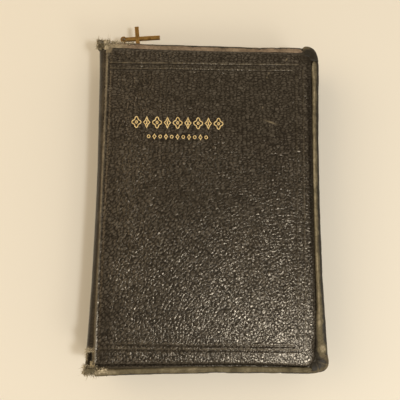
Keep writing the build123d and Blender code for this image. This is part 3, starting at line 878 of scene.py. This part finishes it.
def corner_cap(name, sign, profile, before, after, bulges, seed):
    """A leather corner folded over the rolled edge. Bulges are (share of the run, stand-out) pairs."""
    points, normals, along = case_run(0, 30, 30, 0.5, CAP_R, CAP_R)
    turning = (np.abs(normals) < 0.995).all(1) & (np.sign(points[:, 1]) == sign) & (points[:, 0] > 52)
    turn = np.where(turning)[0]
    first, last = along[turn[0]] - before, along[turn[-1]] + after
    keep = (along >= first) & (along <= last)
    points, normals, along = points[keep], normals[keep], along[keep]
    share = (along - along[0]) / (along[-1] - along[0])
    bulge = np.interp(share, [b[0] for b in bulges], [b[1] for b in bulges])
    bulge = np.convolve(np.pad(bulge, 2, mode="edge"), np.ones(5) / 5, "valid")
    inset, rise = np.array(profile).T
    k, s = np.meshgrid(np.arange(len(profile)), along)
    lip = smooth(0, 0.05, share)[:, None] * smooth(1, 0.95, share)[:, None]
    outer = smooth(4.5, 0.5, inset)[None, :]
    crease = 0.22 * ripple(s, k * 0.45, 1.9, seed) * smooth(0, 3, rise)[None, :]
    crease = crease + 0.12 * ripple(s, k * 0.7, 0.9, seed + 2)
    far_in = inset[None, :] - bulge[:, None] * outer + crease * outer * 0.5
    up = WELT_LOW - 0.1 + rise[None, :] * (0.86 + 0.14 * lip) + crease * 0.6
    middle_in, middle_up = far_in.mean(1, keepdims=True), up.mean(1, keepdims=True)
    shrink = (0.80 + 0.20 * smooth(0, 0.03, share) * smooth(1, 0.97, share))[:, None]
    far_in = middle_in + (far_in - middle_in) * shrink
    up = middle_up + (up - middle_up) * shrink
    piece = tube(name, swept(points, normals, -far_in, up))
    rubbed = outer * (0.35 + 0.25 * ripple(s, k * 0.5, 2.4, seed + 4))
    if sign > 0:
        rubbed = (rubbed * 0.5 + 0.52 * outer) * smooth(0.55, 0.15, share)[:, None]
    else:
        rubbed = 0.02 + rubbed * 1.25 + 0.36 * ripple(s, k * 0.6, 1.3, seed + 5)
        rubbed = rubbed + 1.5 * np.exp(-((s - along[0] - 4.0) / 2.3) ** 2 - ((k - 2.8) / 1.0) ** 2)
    paint(piece, "bare", np.clip(rubbed, 0, 1.3))
    paint(piece, "pink", 0.15 + 0 * rubbed)
    dress(piece, EDGE)
    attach(piece, "front_cover")
    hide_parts("front_edge_welt")


def corner_caps():
    """The folded corners at head and tail of the fore edge."""
    head = [(0, 0.0), (0.05, 0.9), (0.12, 1.35), (0.38, 1.3), (0.55, 0.5), (0.75, -0.4), (0.9, -0.3), (1, 0)]
    tail = [(0, 0.0), (0.2, 0.6), (0.38, 1.0), (0.5, 1.7), (0.58, 1.5), (0.68, 0.1), (0.85, -0.35),
            (0.94, 0.3), (1, -0.7)]
    corner_cap("head_fore_corner", 1, HEAD_CAP, 3.6, 3.0, head, 401)
    corner_cap("tail_fore_corner", -1, TAIL_CAP, 9.0, 4.0, tail, 411)


# share of the way from the tape's free edge to its sewn one, and half the thickness there
TAPE_SECTION = ((0, 0.28), (0.02, 0.55), (0.08, 0.62), (0.15, 0.40), (0.5, 0.38), (1.0, 0.40))


def zipper_tape(name, body, node, seed):
    """One woven tape, a little wavy, with a corded free edge."""
    low, high = node_box(node)
    if body == "case":
        start_x, free, sewn = low[0], high[2], low[2]
    else:
        start_x, free, sewn = node_box("front_zipper_teeth")[0][0] - 1.2, low[2], high[2]
    points, normals, along = case_run(STRIP_W / 2, max(start_x, head_start(body)), low[0], 1.2)
    one_side = [(half, free + (sewn - free) * share) for share, half in TAPE_SECTION]
    outline = np.array(one_side + [(-half, z) for half, z in one_side[::-1]])
    s, k = grid(along, np.arange(len(outline)))
    half, z = outline[k, 0], outline[k, 1]
    middle = np.sin(np.clip((z - free) / (sewn - free), 0, 1) * math.pi)
    across = half + 0.08 * middle * ripple(s, z, 11, seed)
    piece = dress(tube(name, swept(points, normals, across, z)), TAPE)
    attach(piece, body)
    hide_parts(node)


def head_start(body):
    """Where a row's tape starts on the head run."""
    if body == "case":
        return node_box("back_zipper_tape")[0][0]
    return node_box("front_zipper_stops")[1][0] - 3.1


# ---- metal teeth
def bevelled_box(low, high, width):
    """Points and faces of a box with rounded edges."""
    work = bmesh.new()
    bmesh.ops.create_cube(work, size=1.0)
    low, high = Vector(low), Vector(high)
    for vert in work.verts:
        vert.co = vert.co * (high - low) + (high + low) / 2
    bmesh.ops.bevel(work, geom=work.edges[:], offset=width, segments=2, profile=0.6, affect="EDGES")
    work.verts.ensure_lookup_table()
    points = np.array([vert.co[:] for vert in work.verts])
    faces = [[vert.index for vert in face.verts] for face in work.faces]
    work.free()
    return points, faces


def crimped_row(name, body, cover, side, pitch, seed):
    """All the teeth of one row: a cupped head and two jaws round the tape's cord."""
    node = f"{cover}_zipper_teeth"
    start_x = node_box(node)[0][0]
    end_x = start_x if side < 0 else tail_start()
    points, normals, along = case_run(STRIP_W / 2, start_x, end_x, 0.6)
    parts = [
        bevelled_box((-0.62, -1.08, 0.0), (0.62, 1.08, 1.05), 0.24),
        bevelled_box((-0.40, -0.72, -0.32), (0.40, 0.72, 0.10), 0.14),
        bevelled_box((-0.58, 0.47, 0.9), (0.58, 1.06, 2.6), 0.16),
        bevelled_box((-0.58, -1.06, 0.9), (0.58, -0.47, 2.6), 0.16),
    ]
    base, faces, start = [], [], 0
    for part_points, part_faces in parts:
        base.append(part_points)
        faces += [[start + i for i in face] for face in part_faces]
        start += len(part_points)
    base = np.concatenate(base)
    gap = abs(node_box(node)[0 if side > 0 else 1][2] - ZIP_Z)
    count = int(along[-1] / pitch)
    all_points, all_faces = [], []
    luck = np.random.default_rng(seed)
    for index in range(count):
        s = (index + 0.5) * along[-1] / count
        at = np.array([np.interp(s, along, column) for column in points.T])
        out = np.array([np.interp(s, along, column) for column in normals.T])
        out /= np.linalg.norm(out)
        run = np.array([out[1], -out[0]])
        local = base.copy()
        local[:, 0] += 0.05 * luck.standard_normal() * local[:, 2]
        z = ZIP_Z + side * (gap + local[:, 2])
        xy = at + local[:, :1] * run + local[:, 1:2] * out
        all_points.append(np.column_stack([xy, z]))
        all_faces += [[index * len(base) + i for i in face] for face in faces]
    piece = make_mesh(name, np.concatenate(all_points), all_faces)
    dress(piece, BRASS)
    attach(piece, body)
    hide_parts(node)


def tail_start():
    """Where both rows of teeth stop on the tail run."""
    return node_box("tail_end_gusset")[1][0] + 4.0


# ---- gilding
def ribbon(path, half_w, closed=True):
    """A flat stroke with a domed middle, along a closed or open path in plan."""
    path = np.array(path, float)
    ahead = np.roll(path, -1, 0) - np.roll(path, 1, 0)
    if not closed:
        ahead[0], ahead[-1] = path[1] - path[0], path[-1] - path[-2]
    ahead /= np.linalg.norm(ahead, axis=1)[:, None]
    side = np.stack([-ahead[:, 1], ahead[:, 0]], 1)
    base, crown = TOP - 0.30, TOP + 0.05
    shoulder = crown - 0.04
    section = ((-1, base), (-0.92, shoulder), (-0.4, crown), (0.4, crown), (0.92, shoulder), (1, base))
    rings = [np.column_stack([path + side * half_w * share, np.full(len(path), z)]) for share, z in section]
    return tube("stroke", np.stack(rings, 1), capped=not closed, loop=closed)


def ring_path(x, y, rx, ry, lobes=0, depth=0.0, count=48):
    """A round, lobed or lozenge-like closed path."""
    a = np.linspace(0, 2 * math.pi, count, endpoint=False)
    r = 1 + depth * np.cos(lobes * a)
    return np.column_stack([x + rx * r * np.cos(a), y + ry * r * np.sin(a)])


def lozenge_path(x, y, rx, ry, per_side=5):
    """A diamond with slightly hollow sides."""
    corners = [(rx, 0), (0, ry), (-rx, 0), (0, -ry)]
    points = []
    for k in range(4):
        (ax, ay), (bx, by) = corners[k], corners[(k + 1) % 4]
        for t in np.linspace(0, 1, per_side, endpoint=False):
            hollow = 1 - 0.22 * math.sin(math.pi * t)
            points.append((x + (ax + (bx - ax) * t) * hollow, y + (ay + (by - ay) * t) * hollow))
    return np.array(points)


def gilt_ornament():
    """Two rows of stamped gold: open quatrefoils and lozenges above, beads and sprigs below."""
    strokes = []
    for step in range(-4, 5):
        x = GILT_X + 6.1 * step
        if step % 2 == 0:
            strokes.append(ribbon(ring_path(x, GILT_Y, 2.15, 2.75, 4, 0.24), 0.30))
            strokes.append(ribbon(ring_path(x, GILT_Y, 0.55, 0.75, count=20), 0.30))
        else:
            strokes.append(ribbon(lozenge_path(x, GILT_Y, 1.9, 3.5), 0.30))
            strokes.append(ribbon([(x, GILT_Y - 1.3), (x, GILT_Y), (x, GILT_Y + 1.3)], 0.38, closed=False))
    for step in range(-5, 6):
        x = GILT_X + 3.4 * step
        if step % 2 == 0:
            strokes.append(ribbon(lozenge_path(x, GILT_LOW_Y, 1.0, 1.7), 0.24))
        else:
            strokes.append(ribbon(ring_path(x, GILT_LOW_Y, 0.8, 0.9, count=20), 0.25))
    piece = joined("gilt_stamping", strokes, "front_cover")
    dress(piece, GOLD)
    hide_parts("gilt_ornament")


# ---- text block
PAGE_WAIST = 1.6        # how far the leaves' fore edge is drawn in at the middle


def page_plan(xs, ys, low, high, radius=7.0):
    """Grid points of a leaf: straight at the fold, waisted fore edge, rounded fore corners."""
    xx, yy = grid(xs, ys)
    fore = high[0] + 0.3 - PAGE_WAIST * (1 - (yy / high[1]) ** 2)
    x = low[0] + (xx - xs[0]) / (xs[-1] - xs[0]) * (fore - low[0])
    return rounded(x, yy, fore, high[1], radius)[:2]


def leaf_stack(name, node, body, material, layers, seed, flexible):
    """A sewn section: smooth faces, and edges where single leaves stand in and out."""
    low, high = node_box(node)
    xs = np.concatenate([
        np.arange(low[0], low[0] + 24, 1.5 if flexible else 8.0),
        np.linspace(low[0] + 26, high[0] - 8, 12),
        np.linspace(high[0] - 7, high[0], 12),
    ])
    ys = np.concatenate([
        np.linspace(-high[1], -high[1] + 7, 12),
        np.linspace(-high[1] + 9, high[1] - 9, 90),
        np.linspace(high[1] - 7, high[1], 12),
    ])
    x, y = (values.ravel() for values in page_plan(xs, ys, low, high))
    rim = rim_index(len(xs), len(ys))
    outline = np.column_stack([x[rim], y[rim]])
    inward = np.array([(low[0] + high[0]) / 2, 0]) - outline
    inward /= np.linalg.norm(inward, axis=1)[:, None]
    at_fold = np.abs(outline[:, 0] - low[0]) < 0.5
    around = np.arange(len(rim)) * 1.0
    luck = np.random.default_rng(seed)
    levels = np.linspace(high[2], low[2], layers + 1)
    points = [np.column_stack([x, y, np.full(x.size, high[2])])]
    faces = grid_faces(len(xs), len(ys))
    edge = [np.zeros(x.size)]
    previous, start = rim, x.size
    for k in range(layers):
        shift = 0.02 + 0.22 * luck.random() + 0.06 * ripple(around, 0 * around + k, 17, seed + k)
        moved = outline + inward * shift[:, None]
        moved[:, 0] += 0.8 * abs((k + 0.5) / layers - 0.5) ** 2 * 4 * at_fold * (layers > 2)
        for z in levels[k:k + 2]:
            points.append(np.column_stack([moved, np.full(len(rim), z)]))
            edge.append(np.ones(len(rim)))
            current = np.arange(start, start + len(rim))
            faces += band_faces(previous, current)
            previous, start = current, start + len(rim)
    points.append(np.column_stack([x, y, np.full(x.size, low[2])]))
    edge.append(np.zeros(x.size))
    faces += [face[::-1] for face in grid_faces(len(xs), len(ys), start)]
    faces += band_faces(previous, start + rim)
    piece = make_mesh(name, np.concatenate(points), faces, shade=False)
    paint(piece, "edge", np.concatenate(edge))
    dress(piece, material)
    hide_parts(node)
    if flexible:
        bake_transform(piece)
    else:
        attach(piece, body)


def text_block():
    """All the sewn sections and the two flyleaves."""
    moving = {"signature_01": "first_leaves", "signature_02": "second_leaves"}
    for number in range(1, 11):
        node = f"signature_{number:02d}"
        body = moving.get(node, "case")
        leaf_stack(f"pages_{number:02d}", node, body, PAGE, 9, 100 + number, node in moving)
    leaf_stack("front_flyleaf_sheet", "front_flyleaf", "flyleaf", FLYLEAF, 1, 131, True)
    leaf_stack("back_flyleaf_sheet", "back_flyleaf", "case", FLYLEAF, 1, 132, False)


# ---- end gussets and fraying
FIBRE_RINGS, FIBRE_SIDES = 6, 5
FIBRE_LOW, FIBRE_HIGH = 0.1, 33.5


def fibres(name, body, starts, aims, reaches, tones, seed, radius=(0.07, 0.15)):
    """Loose curved fibres from the given places. Tone 0 is dark leather and 1 is cream thread."""
    luck = np.random.default_rng(seed)
    count = len(starts)
    aims = aims / np.linalg.norm(aims, axis=1)[:, None]
    bends = luck.normal(0, 0.45, (count, 3)) * (1, 1, 0.35)
    radii = radius[0] + (radius[1] - radius[0]) * luck.random(count)
    t = np.linspace(0, 1, FIBRE_RINGS)[None, :, None]
    centre = starts[:, None] + reaches[:, None, None] * (t * aims[:, None] + t * t * bends[:, None])
    ahead = aims[:, None] + 2 * t * bends[:, None]
    one = np.cross(ahead, (0.3, 0.2, 0.93))
    one /= np.linalg.norm(one, axis=2)[:, :, None]
    two = np.cross(ahead, one)
    two /= np.linalg.norm(two, axis=2)[:, :, None]
    thin = radii[:, None, None] * (1 - 0.7 * t)
    turn = np.linspace(0, 2 * math.pi, FIBRE_SIDES, endpoint=False)
    rings = [centre + thin * (math.cos(a) * one + math.sin(a) * two) for a in turn]
    points = np.stack(rings, 2)
    points[..., 2] = np.clip(points[..., 2], FIBRE_LOW, FIBRE_HIGH)
    size = FIBRE_RINGS * FIBRE_SIDES
    pattern = tube_faces(FIBRE_RINGS, FIBRE_SIDES)
    faces = [[f + index * size for f in face] for index in range(count) for face in pattern]
    piece = make_mesh(name, points.reshape(-1, 3), faces)
    paint(piece, "tone", np.repeat(tones, size))
    dress(piece, FRAYED)
    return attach(piece, body)


def tuft(name, body, low, high, count, seed, reach, tone, lie=(1.0, 1.0, 0.2)):
    """Fibres that start all over a small box and lie mostly level."""
    luck = np.random.default_rng(seed)
    starts = luck.uniform(low, high, (count, 3))
    middle = (np.array(low) + np.array(high)) / 2
    aims = luck.normal(0, 1, (count, 3)) * np.array(lie) + 0.5 * np.sign(starts - middle) * (1, 1, 0.3)
    reaches = reach[0] + (reach[1] - reach[0]) * luck.random(count) ** 1.5
    patch = 0.25 * ripple(starts[:, 0], starts[:, 1], 2.6, seed)
    tones = np.clip(tone[0] + (tone[1] - tone[0]) * (patch + luck.random(count) ** 0.8), 0, 1)
    return fibres(name, body, starts, aims, reaches, tones, seed + 1)


def end_gusset(name, node, sign, seed):
    """The worn leather corner at one end of the spine: lumpy, flared and torn open at the top."""
    low, high = node_box(node)
    mid_x, mid_y = (SPINE_X + FOLD_X) / 2 + 0.2, (low[1] + high[1]) / 2
    half_y = (high[1] - low[1]) / 2 + 0.2
    phi = np.linspace(0, 2 * math.pi, 72, endpoint=False)
    z = np.linspace(low[2], high[2] + 0.4, 90)
    zz, pp = grid(z, phi)
    share = (zz - low[2]) / (high[2] - low[2])
    plump = np.minimum(1, 0.35 + 3.2 * np.minimum(share, 1.02 - share) ** 0.7)
    flare = smooth(0.72, 0.97, share)
    around = pp * 3.4
    lump = 1 + 0.12 * rough(around, zz, 2.6, seed) + (0.07 + 0.15 * flare) * rough(around, zz, 1.0, seed + 3)
    across = squarish(np.cos(pp), 0.7) * (3.2 + 0.9 * flare) * plump * lump
    outward = squarish(np.sin(pp), 0.7) * (half_y + 0.7 * flare) * plump * lump
    level = zz + 0.25 * ripple(around, zz, 1.3, seed + 4)
    rings = np.stack([mid_x + across, mid_y + sign * 0.3 * flare + outward, level], 2)
    piece = tube(name + "_post", rings)
    paint(piece, "bare", 0.2 + 0.6 * smooth(0.6, 0.95, share) + 0.35 * ripple(around, zz, 1.7, seed + 5))
    paint(piece, "pink", 0 * share)
    dress(piece, EDGE)
    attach(piece, "case")
    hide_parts(node)


def torn_flap(name, body, middle, size, turn, seed, tone):
    """A small curled scrap of leather that has come away."""
    a, b = grid(np.linspace(-1, 1, 15), np.linspace(-1, 1, 15))
    ragged = 1 + 0.22 * ripple(a * 3, b * 3, 1.0, seed)
    x, y = a * size[0] * ragged, b * size[1] * ragged
    lift = 0.35 * np.abs(b) ** 2 + 0.3 * ripple(a * 2, b * 2, 0.9, seed + 1)
    c, s = math.cos(turn), math.sin(turn)
    top = np.stack([middle[0] + c * x - s * y, middle[1] + s * x + c * y, middle[2] + lift], 2)
    under = top[::2, ::2].copy()
    under[:, :, 2] -= 0.35
    piece = shell(name, top, under, 2)
    paint(piece, "tone", np.full(len(piece.data.vertices), tone))
    dress(piece, FRAYED)
    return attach(piece, body)


def head_spine_fray():
    """The head end of the spine: an opened seam with pale threads round a dark hollow."""
    y, z = HEAD, TOP - 1.0
    tuft("head_corner_fray", "case", (-68.2, y - 3.4, z - 1.0), (-60.4, y + 1.6, z + 0.5), 540, 207,
         (0.6, 1.7), (0.25, 1.0))
    tuft("head_corner_hollow", "case", (-66.8, y - 3.2, z + 0.1), (-65.2, y - 1.4, z + 0.7), 90, 208,
         (0.4, 1.0), (0.08, 0.28))
    tuft("head_corner_specks", "case", (-68.0, y - 3.4, z + 0.2), (-61.2, y + 1.6, z + 0.7), 80, 206,
         (0.3, 0.9), (0.0, 0.25))
    tuft("head_corner_wisps", "case", (-68.0, y + 1.2, z - 2), (-60.0, y + 2.2, z), 46, 209,
         (1.0, 3.0), (0.1, 0.9), (0.7, 1.3, 0.4))
    tuft("head_corner_pale", "case", (-63.6, y - 4.6, z + 0.4), (-61.2, y + 0.8, z + 0.8), 140, 211,
         (0.7, 1.6), (0.6, 1.0), (0.5, 1.2, 0.2))
    torn_flap("head_corner_flap", "case", (-62.4, y - 2.2, z + 0.5), (1.2, 2.9), 0.12, 213, 0.80)
    torn_flap("head_corner_scrap", "case", (-67.0, y + 0.2, z - 0.2), (1.0, 1.5), -0.5, 215, 0.45)
    tuft("head_strip_fray", "front_cover", (-59.2, y - 1.6, z - 0.1), (-45.5, y + 0.9, z + 0.5), 300, 217,
         (0.5, 1.3), (0.1, 1.0), (1.2, 0.5, 0.2))
    tuft("head_strip_corner_fray", "front_cover", (-59.4, y - 2.2, z), (-56.0, y + 0.9, z + 0.6), 130, 219,
         (0.5, 1.5), (0.3, 1.0), (1.0, 0.8, 0.2))
    stray("head_stray_thread", (-67.4, y + 1.8, z - 0.5), (-0.25, 1.0, 0.1), 3.6, 221)


def tail_spine_fray():
    """The tail end of the spine, split above the corner and shredded round it."""
    y, z = -HEAD, TOP - 1.0
    tuft("tail_corner_fray", "case", (-68.4, y - 0.2, z - 2.2), (-60.6, y + 4.4, z + 0.4), 620, 227,
         (0.6, 1.6), (0.45, 1.0))
    tuft("tail_strip_fray", "front_cover", (-61.4, y - 0.2, z - 0.4), (-54.8, y + 2.8, z + 0.5), 320, 229,
         (0.5, 1.5), (0.25, 1.0), (1.0, 0.8, 0.2))
    tuft("tail_corner_specks", "case", (-68.2, y - 0.2, z + 0.2), (-61.0, y + 4.2, z + 0.7), 60, 228,
         (0.3, 0.9), (0.0, 0.25))
    tuft("tail_corner_wisps", "case", (-67.5, y - 1.2, z - 2.0), (-60.5, y - 0.4, z - 0.6), 50, 231,
         (0.8, 2.0), (0.35, 0.95), (0.8, 1.3, 0.4))
    torn_flap("tail_corner_flap", "case", (-63.1, y + 5.4, z + 1.0), (1.3, 1.6), 0.1, 233, 0.5)
    torn_flap("tail_strip_scrap", "front_cover", (-57.6, y + 1.6, z + 0.6), (2.3, 0.9), 0.15, 235, 0.85)
    torn_flap("tail_corner_scrap", "case", (-67.0, y + 0.8, z - 0.4), (1.6, 1.2), 0.7, 237, 0.5)
    tuft("tail_split_bridge", "case", (-67.0, y + 11.6, z + 0.2), (-62.2, y + 13.4, z + 1.0), 130, 239,
         (0.5, 1.4), (0.35, 1.0), (1.3, 0.7, 0.15))
    for side, x in (("left", -66.6), ("right", -62.3)):
        tuft(f"tail_split_{side}", "case", (x - 0.3, y + 7.4, z - 0.2), (x + 0.3, y + 12.4, z + 0.8), 70, 241,
             (0.4, 1.1), (0.4, 1.1), (0.5, 1.1, 0.2))
    stray("tail_stray_thread", (-66.0, y - 1.6, z - 2), (-0.1, -1.0, 0.0), 2.4, 243)


def stray(name, start, aim, reach, seed):
    """One long loose thread."""
    start, aim, reach, tone = (np.array([value]) for value in (start, aim, reach, 0.8))
    fibres(name, "case", start, aim, reach, tone, seed, (0.14, 0.15))


def gussets():
    """Both end gussets, the tape's end and the frayed leather round them."""
    end_gusset("head_end", "head_end_gusset", 1, 201)
    end_gusset("tail_end", "tail_end_gusset", -1, 221)
    head_spine_fray()
    tail_spine_fray()
    end_x, end_y, _ = node_box("head_end_gusset")[1]
    tape = make_wall("head_end_tape", end_x - 11.0, end_x, end_y - 1.7, ZIP_Z + 2.2, WELT_LOW - 0.45)
    dress(tape, TAPE)
    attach(tape, "case")
    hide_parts("head_end_gusset")


def make_wall(name, x0, x1, y, z0, z1):
    """A short stretch of tape along the head."""
    one_side = [(0.3, z0), (0.45, z0 + 0.4), (0.42, z1 - 0.2), (0.3, z1)]
    section = one_side + [(-dy, z) for dy, z in one_side[::-1]]
    rings = []
    for x in np.linspace(x0, x1, 16):
        rings.append([(x, y + 0.10 * math.sin(x * 0.9) + dy, z) for dy, z in section])
    return tube(name, np.array(rings))


# ---- materials for the CAD pieces that stay
def cad_finishes():
    """Finishes for the nodes whose CAD shape is shown."""
    kept = {
        "front_cover_lining": LINING, "back_cover_lining": LINING,
        "front_cover_board": BOARD, "back_cover_board": BOARD, "spine_liner": BOARD,
        "spine_mull": CLOTH, "sewing_tapes": CLOTH, "head_band": BAND, "tail_band": BAND,
        "front_stitching": THREAD, "back_stitching": THREAD,
        "front_zipper_stops": BRASS, "back_zipper_stops": BRASS,
        "slider_body": SLIDER_BRASS_IN_SHADE, "slider_bail": SLIDER_BRASS_IN_SHADE, "pull_ring": SLIDER_BRASS_IN_SHADE,
        "cross_pull": PULL_BRASS,
    }
    for node, material in kept.items():
        piece = frame["nodes"][node]
        if piece.material_slots:
            for material_slot in piece.material_slots:
                material_slot.material = material
        else:
            piece.data.materials.append(material)


# ---- light, floor and camera: lengths here are in metres
def lamp(name, place, size, power, colour):
    """A square soft lamp that faces the book."""
    light = bpy.data.lights.new(name, "AREA")
    light.size = size
    light.energy = power
    light.color = colour
    holder = placed(name, light)
    holder.location = place
    holder.rotation_euler = (-Vector(place)).to_track_quat("-Z", "Y").to_euler()


def room_walls(world):
    """Soft light from all round, brightest low down like pale walls and dim overhead."""
    nodes, links = world.node_tree.nodes, world.node_tree.links
    split = nodes.new("ShaderNodeSeparateXYZ")
    links.new(nodes.new("ShaderNodeTexCoord").outputs["Generated"], split.inputs[0])
    band = nodes.new("ShaderNodeValToRGB")
    stops = ((0.25, (1.0, 0.865, 0.67, 1)), (0.97, (0.25, 0.218, 0.175, 1)))
    for element, (at, tint) in zip(band.color_ramp.elements, stops):
        element.position = at
        element.color = tint
    links.new(split.outputs["Z"], band.inputs["Fac"])
    links.new(band.outputs["Color"], nodes["Background"].inputs["Color"])
    nodes["Background"].inputs["Strength"].default_value = 0.96


FLOOR_SIZE = 2.4
LENS_MM, SENSOR_MM = 40.5, 36.0
CAMERA_AT_MM = (-18.1, -39.8, 288.8)
CAMERA_LOOK, CAMERA_UP = (0.0502, 0.1525, -0.987), (-0.0127, 0.9883, 0.1521)


def stage():
    """A plain cream floor, soft warm room light, and one clearer lamp up and to the lower right."""
    bpy.ops.mesh.primitive_plane_add(size=FLOOR_SIZE, location=(0, 0, -0.0002))
    floor = bpy.context.object
    floor.name = "floor"
    cream = Shader("floor_cream").finish((0.90, 0.86, 0.77), 0.9, Specular_IOR_Level=0.1)
    floor.data.materials.append(cream)

    world = bpy.data.worlds.new("soft_room")
    scene.world = world
    world.use_nodes = True
    room_walls(world)
    lamp("desk_lamp", (0.266, -0.270, 0.785), 0.10, 2.2, (0.97, 0.97, 0.96))
    lamp("window", (0.55, -0.75, 0.85), 0.35, 1.9, (1.0, 0.93, 0.80))
    lamp("room", (-0.9, 0.25, 0.8), 0.9, 3.9, (1.0, 0.76, 0.48))

    lens = bpy.data.cameras.new("camera")
    lens.sensor_width = SENSOR_MM
    lens.lens = LENS_MM
    camera = placed("camera", lens)
    forward = Vector(CAMERA_LOOK).normalized()
    right = forward.cross(Vector(CAMERA_UP)).normalized()
    upward = right.cross(forward)
    turn = Matrix((right, upward, -forward)).transposed()
    camera.matrix_world = Matrix.Translation(Vector(CAMERA_AT_MM) * MM) @ turn.to_4x4()
    scene.camera = camera
    scene.view_settings.view_transform = "Standard"


stage()
front_skin()
back_skin()
spine_card()
corner_caps()
rolled_edge("front_rolled_edge", "front_cover", "front_edge_welt", WELT_LOW, WELT_HIGH, FOLD_X + 0.3, 301)
rolled_edge("back_rolled_edge", "case", "back_edge_welt", BACK_WELT_LOW, BACK_WELT_HIGH, FOLD_X, 321)
zipper_tape("front_tape", "front_cover", "front_zipper_tape", 341)
zipper_tape("back_tape", "case", "back_zipper_tape", 343)
crimped_row("front_teeth", "front_cover", "front", 1, 2.4, 351)
crimped_row("back_teeth", "case", "back", -1, 2.4, 352)
gilt_ornament()
text_block()
gussets()
cad_finishes()
